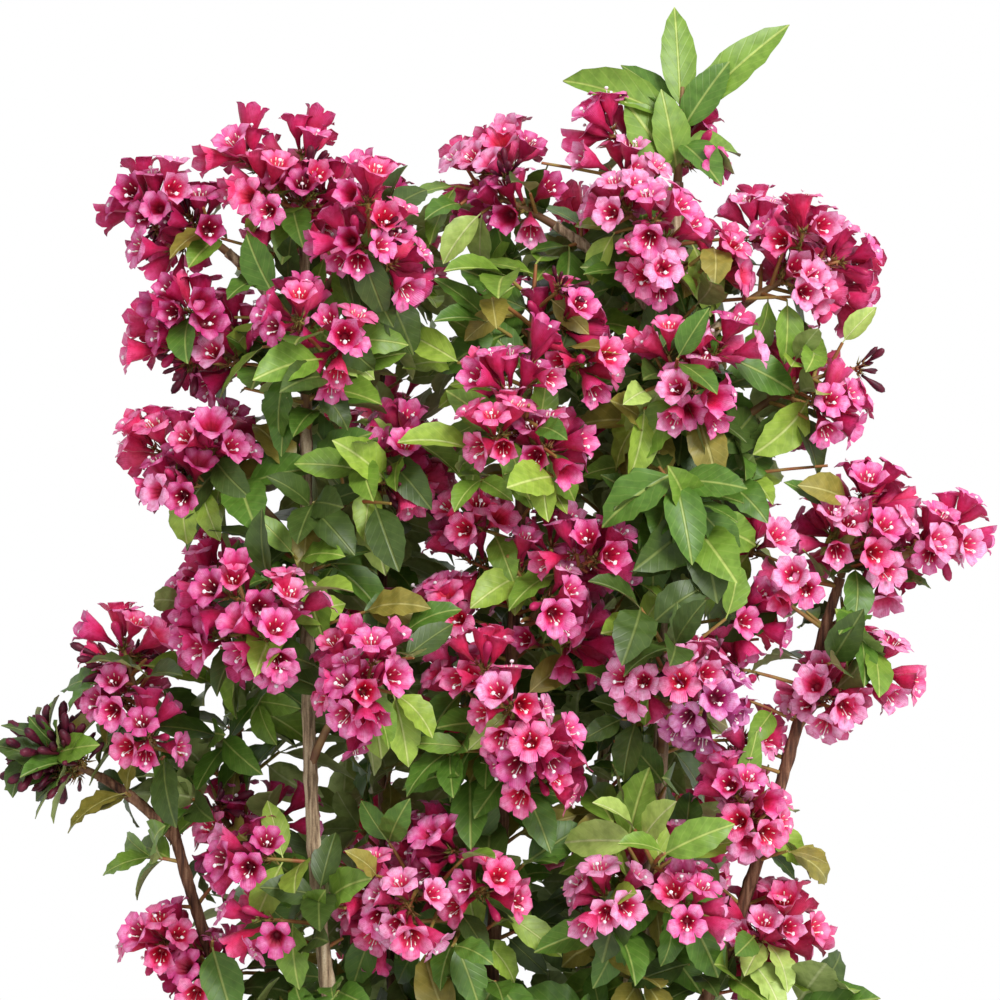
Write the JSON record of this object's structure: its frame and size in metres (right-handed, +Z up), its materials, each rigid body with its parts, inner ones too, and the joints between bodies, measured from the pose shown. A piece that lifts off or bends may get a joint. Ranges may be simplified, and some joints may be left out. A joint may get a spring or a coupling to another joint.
{
  "type": "weigela shrub",
  "caption": "Upright flowering weigela: slender bark-clad stems from one root crown carry masses of opposite leaves and trumpet blossom, with a leafy shoot at the top.",
  "frame": {"origin": "middle of the flat cut under the root crown, at ground level", "axes": "+Z up along the shrub's height; the front faces -Y; +X is to the right of someone who looks at the front"},
  "size_m": [0.6723, 0.3771, 0.9944],
  "materials": {
    "root_bark": "rough, grey-brown bark at the root flare",
    "stem_bark": "pale tan-grey bark with fine lengthwise cracks and small lenticels",
    "blossom_and_leaves": "soft satin petals, deep rose outside and paler pink on the lobes, among mid-green leaves",
    "leaves": "satin green leaves with paler veins",
    "buds": "dark maroon club-shaped buds"
  },
  "bodies": {
    "root": {"bough_far_left_spray": "stem_bark", "bough_far_right_outlier": "stem_bark", "bough_far_right_skirt": "stem_bark", "bough_left_shoulder": "stem_bark", "bough_right_arm": "stem_bark", "bough_right_shoulder": "stem_bark", "bough_right_upper_right": "stem_bark", "foliage_back_left_low": "blossom_and_leaves", "foliage_back_left_middle": "blossom_and_leaves", "foliage_back_left_top": "blossom_and_leaves", "foliage_back_left_upper": "blossom_and_leaves", "foliage_back_right_low": "blossom_and_leaves", "foliage_back_right_middle": "blossom_and_leaves", "foliage_back_right_skirt": "leaves", "foliage_back_right_top": "blossom_and_leaves", "foliage_back_right_upper": "blossom_and_leaves", "foliage_centre_low": "blossom_and_leaves", "foliage_centre_lower": "blossom_and_leaves", "foliage_centre_middle": "blossom_and_leaves", "foliage_centre_skirt": "leaves", "foliage_centre_top": "blossom_and_leaves", "foliage_centre_upper": "blossom_and_leaves", "foliage_far_left_skirt": "blossom_and_leaves", "foliage_far_left_spray": "buds", "foliage_far_left_top": "blossom_and_leaves", "foliage_far_right_low": "blossom_and_leaves", "foliage_far_right_lower": "blossom_and_leaves", "foliage_far_right_middle": "blossom_and_leaves", "foliage_far_right_outlier": "blossom_and_leaves", "foliage_far_right_skirt": "leaves", "foliage_far_right_top": "blossom_and_leaves", "foliage_left_high": "blossom_and_leaves", "foliage_left_low": "blossom_and_leaves", "foliage_left_lower": "blossom_and_leaves", "foliage_left_middle_left": "blossom_and_leaves", "foliage_left_middle_right": "blossom_and_leaves", "foliage_left_shoulder": "blossom_and_leaves", "foliage_left_top": "blossom_and_leaves", "foliage_left_upper_front": "blossom_and_leaves", "foliage_left_upper_left": "blossom_and_leaves", "foliage_mid_left_low": "blossom_and_leaves", "foliage_mid_left_top": "blossom_and_leaves", "foliage_right_arm": "blossom_and_leaves", "foliage_right_high": "blossom_and_leaves", "foliage_right_low": "blossom_and_leaves", "foliage_right_lower": "blossom_and_leaves", "foliage_right_middle": "leaves", "foliage_right_shoulder": "blossom_and_leaves", "foliage_right_top": "leaves", "foliage_right_upper_front": "blossom_and_leaves", "foliage_right_upper_right": "blossom_and_leaves", "root_crown": "root_bark", "stem_back_left": "stem_bark", "stem_back_right": "stem_bark", "stem_centre": "stem_bark", "stem_far_left": "stem_bark", "stem_far_right": "stem_bark", "stem_left": "stem_bark", "stem_mid_left": "stem_bark", "stem_right": "stem_bark"}
  },
  "joints": []
}
